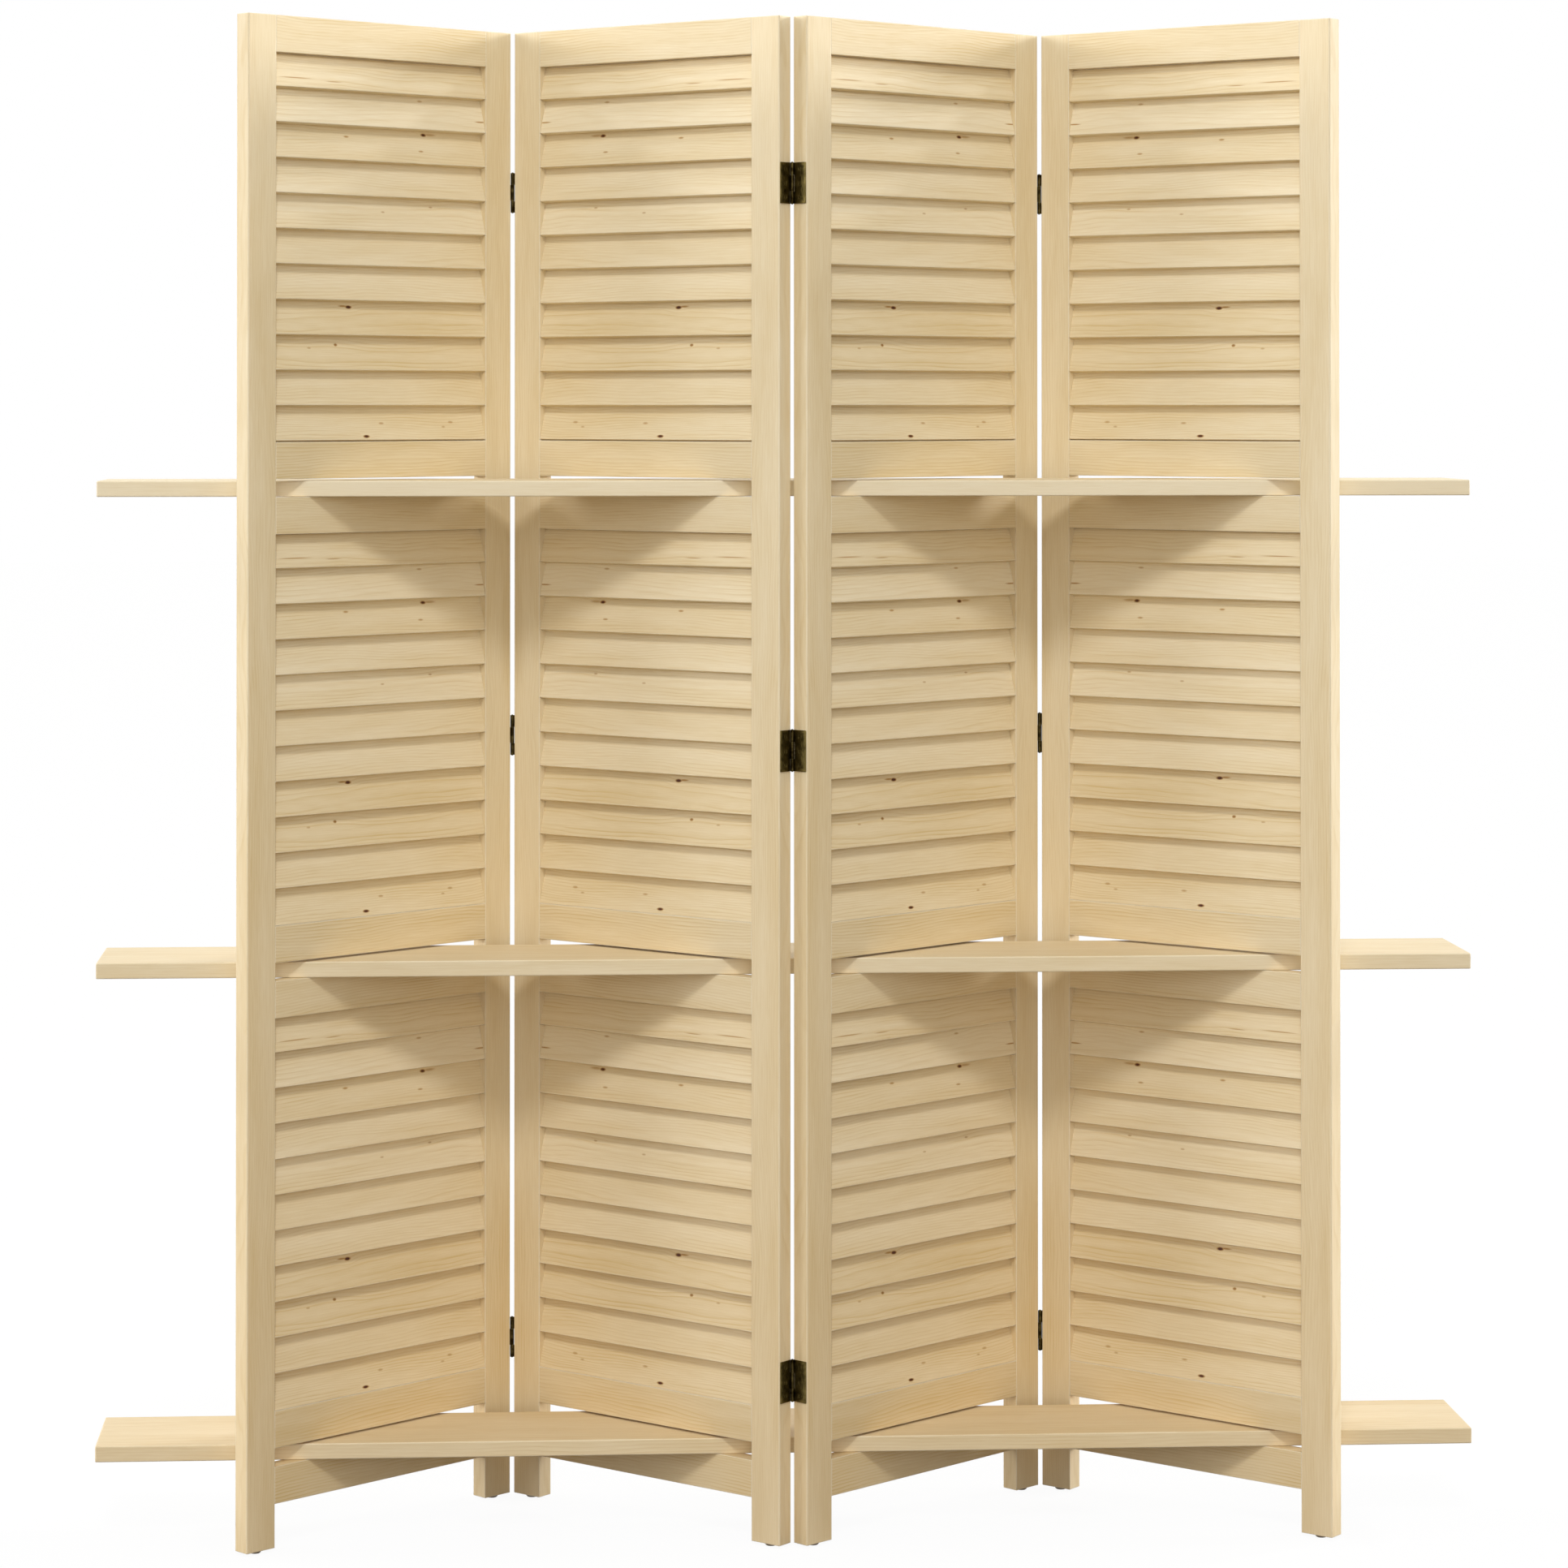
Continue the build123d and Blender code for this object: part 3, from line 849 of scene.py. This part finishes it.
def leaf_plate(has_middle):
    """The flat plate with its notches and screw holes, standing on the edge at -X of the pin."""
    top = LEAF_HEIGHT / 2
    half_middle = KNUCKLE_SHARE * top
    root = plate_root
    c = LEAF_CORNER
    upper = arc((LEAF_WIDTH - c, top - c), c, 90, 0, 6)
    lower = arc((LEAF_WIDTH - c, c - top), c, 0, -90, 6)
    lip = LIP * root
    if has_middle:
        step = half_middle - END_PLAY
        inner = [(root, -top), (root, -step), (lip, -step), (lip, step), (root, step), (root, top)]
    else:
        inner = [(lip, -top), (lip, -half_middle), (root, -half_middle), (root, half_middle),
                 (lip, half_middle), (lip, top)]
    curve = bpy.data.curves.new("plate", "CURVE")
    curve.dimensions = "2D"
    curve.fill_mode = "BOTH"
    curve.extrude = LEAF_THICKNESS / 2 - LEAF_EDGE
    curve.bevel_depth = LEAF_EDGE
    curve.bevel_resolution = 2
    curve.offset = -LEAF_EDGE
    outlines = [upper + lower + inner]
    for row in SCREW_ROWS:
        outlines.append(arc((SCREW_COLUMN, row * LEAF_HEIGHT), SCREW_HEAD, 0, 345, 23))
    for points in outlines:
        spline = curve.splines.new("POLY")
        spline.points.add(len(points) - 1)
        for point, (x, y) in zip(spline.points, points):
            point.co = (x, y, 0, 1)
        spline.use_cyclic_u = True
    holder = bpy.data.objects.new("plate", curve)
    bpy.context.scene.collection.objects.link(holder)
    bpy.context.view_layer.update()
    evaluated = holder.evaluated_get(bpy.context.evaluated_depsgraph_get())
    mesh = bpy.data.meshes.new_from_object(evaluated)
    bpy.data.objects.remove(holder)
    shape = bmesh.new()
    shape.from_mesh(mesh)
    bpy.data.meshes.remove(mesh)
    bmesh.ops.remove_doubles(shape, verts=shape.verts, dist=1e-6)
    # The curve lies in its own plane: its x runs away from the pin and its y upwards
    plate_x = (LEAF_THICKNESS - HINGE_GAP) / 2
    stand = Matrix(((0, 0, 1, plate_x), (1, 0, 0, 0), (0, 1, 0, 0), (0, 0, 0, 1)))
    shape.transform(stand)
    return shape


print("the plate starts", round(plate_root / MM, 2), "mm from the pin's axis")

# %% [markdown]
# ## Knuckles
# The rest of the sheet is rolled round the pin. The section of a knuckle is one closed line:
# from the plate, round the outside of the roll and back along its bore. It is drawn once for
# each end of the knuckle, and walls join the two.

# %% Rolled knuckle
KNUCKLE_BORE = 1.26 * MM


def add_knuckle(shape, low, high):
    """A rolled knuckle: the leaf's edge curls round the pin and ends just short of the plate."""
    root = LIP * plate_root + LEAF_EDGE
    back, front = -HINGE_GAP / 2, LEAF_THICKNESS - HINGE_GAP / 2
    wall = arc((0, 0), KNUCKLE_RADIUS, 172, 478, 26)
    bore = arc((0, 0), KNUCKLE_BORE, 478, 190, 24)
    outline = [(front, root), (back, root), (back, 0.9 * root)] + wall + bore
    outline.append((front, 0.55 * root))
    ends = [[shape.verts.new((x, y, z)) for x, y in outline] for z in (low, high)]
    count = len(outline)
    for i in range(count):
        j = (i + 1) % count
        shape.faces.new((ends[0][i], ends[0][j], ends[1][j], ends[1][i]))
    for end in ends:
        edges = [shape.edges.get((end[i], end[(i + 1) % count])) for i in range(count)]
        bmesh.ops.triangle_fill(shape, edges=edges, use_beauty=True)


# %% [markdown]
# ## Screws
# A screw head is turned from a profile, as on a lathe. Its crossed recess is a ring of points
# that is pinched to a cross and sunk into the head. The heads lie a tenth of a millimetre
# below the face of the leaf, so that two leaves can close on each other.

# %% Countersunk screws
SCREW_SIDES = 24
SUNK = 0.10 * MM
RECESS_DEPTH = 0.45 * MM


def add_screws(shape):
    """Countersunk screw heads with a crossed recess, set just below the leaf's face."""
    face = LEAF_THICKNESS - HINGE_GAP / 2
    r = SCREW_HEAD
    top = 0.03 * MM - SUNK
    for row in SCREW_ROWS:
        head = bmesh.new()
        dome = 0.62 * r
        profile = [(1.02 * r, -0.75 * LEAF_THICKNESS), (r, -SUNK - 0.12 * MM),
                   (0.93 * r, -SUNK), (dome, top)]
        lathe(head, profile, SCREW_SIDES)
        cross, bottom = [], []
        for i in range(SCREW_SIDES):
            t = 2 * pi * i / SCREW_SIDES
            arm = (0.24 + 0.34 * max(0.0, cos(4 * t)) ** 2) * r
            deep = 0.8 * arm
            cross.append(head.verts.new((arm * cos(t), arm * sin(t), top)))
            bottom.append(head.verts.new((deep * cos(t), deep * sin(t), top - RECESS_DEPTH)))
        rim = [v for v in head.verts
               if abs(v.co.xy.length - dome) < 1e-7 and abs(v.co.z - top) < 1e-7]
        rim.sort(key=lambda v: atan2(v.co.y, v.co.x) % (2 * pi))
        for i in range(SCREW_SIDES):
            j = (i + 1) % SCREW_SIDES
            head.faces.new((rim[i], rim[j], cross[j], cross[i]))
            head.faces.new((cross[i], cross[j], bottom[j], bottom[i]))
        head.faces.new(bottom)
        stand = Matrix(((0, 0, 1, face), (1, 0, 0, SCREW_COLUMN), (0, 1, 0, row * LEAF_HEIGHT),
                        (0, 0, 0, 1)))
        head.transform(stand @ Matrix.Rotation(row * 5, 4, "Z"))
        loose = bpy.data.meshes.new("loose")
        head.to_mesh(loose)
        head.free()
        shape.from_mesh(loose)
        bpy.data.meshes.remove(loose)


# %% [markdown]
# ## A whole leaf
# Plate, knuckles and screws share one mesh, since they move as one. Each face notes whether
# it belongs to the barrel, where the finish differs.


# %% One hinge leaf
def leaf(has_middle):
    """A whole leaf on the edge at -X of the pin, spreading towards +Y."""
    shape = leaf_plate(has_middle)
    half_leaf = LEAF_HEIGHT / 2
    half_middle = KNUCKLE_SHARE * half_leaf
    if has_middle:
        add_knuckle(shape, END_PLAY - half_middle, half_middle - END_PLAY)
    else:
        add_knuckle(shape, -half_leaf, -half_middle)
        add_knuckle(shape, half_middle, half_leaf)
    add_screws(shape)
    bmesh.ops.recalc_face_normals(shape, faces=shape.faces)
    # The brass looks here for whether a face is part of the barrel
    barrel = shape.faces.layers.float.new("barrel")
    for face in shape.faces:
        face[barrel] = float(max(vert.co.xy.length for vert in face.verts) < 1.01 * KNUCKLE_RADIUS)
    return shape


left_leaf, right_leaf = leaf(True), leaf(False)
print("faces in a leaf:", len(left_leaf.faces), "and", len(right_leaf.faces))

# %% [markdown]
# ## Nine hinges
# The three folds have three hinges each, one above the other. The fold in the middle opens
# the other way, so its hinges are the mirror image, and a right leaf mirrors a left one. The
# pins are turned rods with rounded ends that stand a little proud of the barrel.


# %% Place the hinges
def joint_place(joint, panel, height):
    """Place on a joint's pin axis, turned with one of the panels that it joins."""
    side = 1 if joint % 2 else -1
    spot = Matrix.Translation(((joint - 2) * fold_step, side * fold_depth / 2, height))
    return spot @ Matrix.Rotation(panel_turn(panel), 4, "Z")


MIRROR_X = Matrix.Diagonal((-1, 1, 1, 1))
MIRROR_Y = Matrix.Diagonal((1, -1, 1, 1))
pin_shape = bmesh.new()
PIN = 1.2 * MM  # radius
PIN_TOP = LEAF_HEIGHT / 2 + 0.8 * MM
lathe(pin_shape, [(0, -PIN_TOP), (0.6 * PIN, -PIN_TOP), (0.92 * PIN, 0.25 * MM - PIN_TOP),
                  (PIN, 0.6 * MM - PIN_TOP), (PIN, PIN_TOP - 0.6 * MM),
                  (0.92 * PIN, PIN_TOP - 0.25 * MM), (0.6 * PIN, PIN_TOP), (0, PIN_TOP)], 28)
CREASE = 35  # degrees; edges of the hinges that turn less are shaded round
pin_bodies = {1: "panel_2", 2: "centre_hinge_pins", 3: "panel_4"}
for joint in (1, 2, 3):
    turned = Matrix.Identity(4) if joint % 2 else MIRROR_Y
    name = "hinges_%d_%d_" % (joint, joint + 1)
    left = [joint_place(joint, joint, z) @ turned for z in HINGE_HEIGHTS]
    right = [joint_place(joint, joint + 1, z) @ turned @ MIRROR_X for z in HINGE_HEIGHTS]
    pins = [joint_place(joint, joint, z) for z in HINGE_HEIGHTS]
    for suffix, shape, places, body in (
        ("leaves_left", left_leaf, left, "panel_%d" % joint),
        ("leaves_right", right_leaf, right, "panel_%d" % (joint + 1)),
        ("pins", pin_shape, pins, pin_bodies[joint]),
    ):
        if suffix == "pins" and joint == 2:
            middle = mesh_piece("pressed_" + name + "pin_middle", shape, places[1:2], brass)
            smooth(middle, CREASE)
            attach(middle, "panel_2")
            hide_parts(name + "pin_middle")
            places = places[::2]
        piece = mesh_piece("pressed_" + name + suffix, shape, places, brass)
        smooth(piece, CREASE)
        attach(piece, body)
        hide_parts(name + suffix)

# %% [markdown]
# ## Glides
# A glide is a moulded nylon button nailed under each stile. It keeps the end grain off the
# floor and lets the screen slide instead of scratch. Moulding leaves a soft, even sheen, and
# the floor scuffs it duller in patches. The button is turned here from one profile: a
# rounded rim, a slight taper to the foot, and the dimple that hides the nail's head.

# %% Moulded nylon
SPECK = 1.1 * MM  # the mould's matt grain, much finer on the real button, drawn to show
SCUFF = 6 * MM


def moulded_nylon():
    material, tree = new_material("moulded_brown_nylon")
    place = put(tree, "TexCoord").outputs["Object"]
    speck = put(tree, "TexNoise", {"Vector": place, "Scale": 1 / SPECK, "Detail": 3})
    scuff = put(tree, "TexNoise", {"Vector": place, "Scale": 1 / SCUFF, "Detail": 5})
    blend = put(tree, "MapRange", (scuff, 0.35, 0.7, 0, 1))
    tint = put(tree, "Mix", {0: blend, 6: colour("6E5C44"), 7: colour("86745A")},
               data_type="RGBA").outputs[2]
    rough = put(tree, "MapRange", (speck, 0.3, 0.7, 0.42, 0.6))
    bump = put(tree, "Bump", {"Strength": 0.3, "Distance": 0.08 * MM, "Height": speck})
    skin = put(tree, "BsdfPrincipled", {
        "Base Color": tint, "Roughness": rough, "Normal": bump, "IOR": 1.53,
    })
    put(tree, "OutputMaterial", (skin,))
    return material


nylon = moulded_nylon()
print("glide material:", nylon.name)

# %% Moulded glides
# Radius and height in mm, from the dimple round the foot and the rim to the top
glide_profile = [(0, 0.9), (1.3, 0.9), (1.7, 0.35), (2.3, 0.06), (3.0, 0), (4.9, 0), (5.4, 0.12),
                 (5.9, 0.5), (6.75, 1.6), (6.95, 1.95), (7.0, 2.3), (7.0, 3.1), (6.9, 3.4),
                 (6.6, 3.5), (0, 3.5)]
glide_shape = bmesh.new()
lathe(glide_shape, [(r * MM, h * MM) for r, h in glide_profile], 40)
bmesh.ops.recalc_face_normals(glide_shape, faces=glide_shape.faces)
foot_x = (PANEL_WIDTH - STILE_WIDTH) / 2
for panel in PANELS:
    middle = Matrix.Translation((panel_middle(panel), 0, 0))
    stand = middle @ Matrix.Rotation(panel_turn(panel), 4, "Z")
    places = [stand @ Matrix.Translation((side * foot_x, 0, 0)) for side in (-1, 1)]
    piece = mesh_piece("moulded_glides_%d" % panel, glide_shape, places, nylon)
    smooth(piece, 40)
    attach(piece, "panel_%d" % panel)
    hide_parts("panel_%d_glides" % panel)
print("glides:", 2 * len(PANELS))
